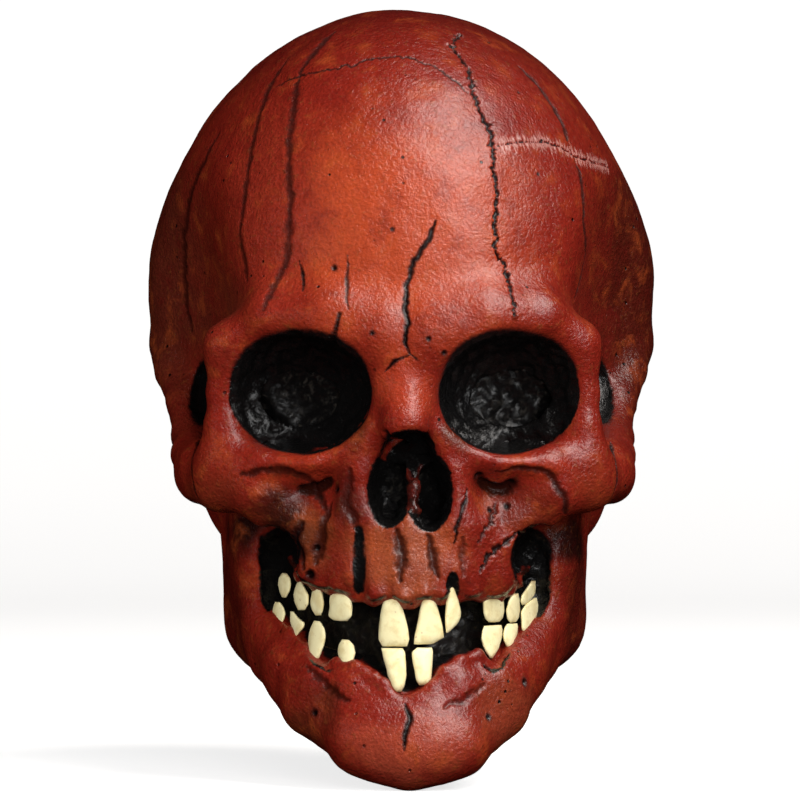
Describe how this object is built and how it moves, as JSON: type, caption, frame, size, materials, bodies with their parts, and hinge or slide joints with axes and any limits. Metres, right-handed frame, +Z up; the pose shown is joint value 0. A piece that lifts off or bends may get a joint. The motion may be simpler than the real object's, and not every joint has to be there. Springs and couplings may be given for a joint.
{
  "type": "latex skull mask",
  "caption": "Over-the-head latex skull mask, open at the neck, with dark see-through screens in the sockets, nose and mouth and separate ivory teeth.",
  "frame": {"origin": "the middle of the wearer's head at eye level, inside the mask, which is the head mount", "axes": "+Z up through the crown, the face looks along -Y, +X is on the right of someone who faces the mask"},
  "size_m": [0.2039, 0.2477, 0.3045],
  "materials": {
    "latex_skin": "cast latex, red paint with a dark wash, gloss sealed",
    "black_screen": "perforated black latex, lumpy and glossy",
    "ivory_tooth": "cast resin, ivory paint, satin"
  },
  "bodies": {
    "root": {"skull_skin": "latex_skin", "eye_screen_left": "black_screen", "eye_screen_right": "black_screen", "nose_screen": "black_screen", "mouth_liner": "black_screen", "upper_tooth_01": "ivory_tooth", "upper_tooth_02": "ivory_tooth", "upper_tooth_03": "ivory_tooth", "upper_tooth_04": "ivory_tooth", "upper_tooth_05": "ivory_tooth", "upper_tooth_06": "ivory_tooth", "upper_tooth_07": "ivory_tooth", "upper_tooth_08": "ivory_tooth", "upper_tooth_09": "ivory_tooth", "upper_tooth_10": "ivory_tooth", "lower_tooth_01": "ivory_tooth", "lower_tooth_02": "ivory_tooth", "lower_tooth_03": "ivory_tooth", "lower_tooth_04": "ivory_tooth", "lower_tooth_05": "ivory_tooth", "lower_tooth_06": "ivory_tooth", "lower_tooth_07": "ivory_tooth", "lower_tooth_08": "ivory_tooth", "lower_tooth_09": "ivory_tooth"}
  },
  "joints": []
}
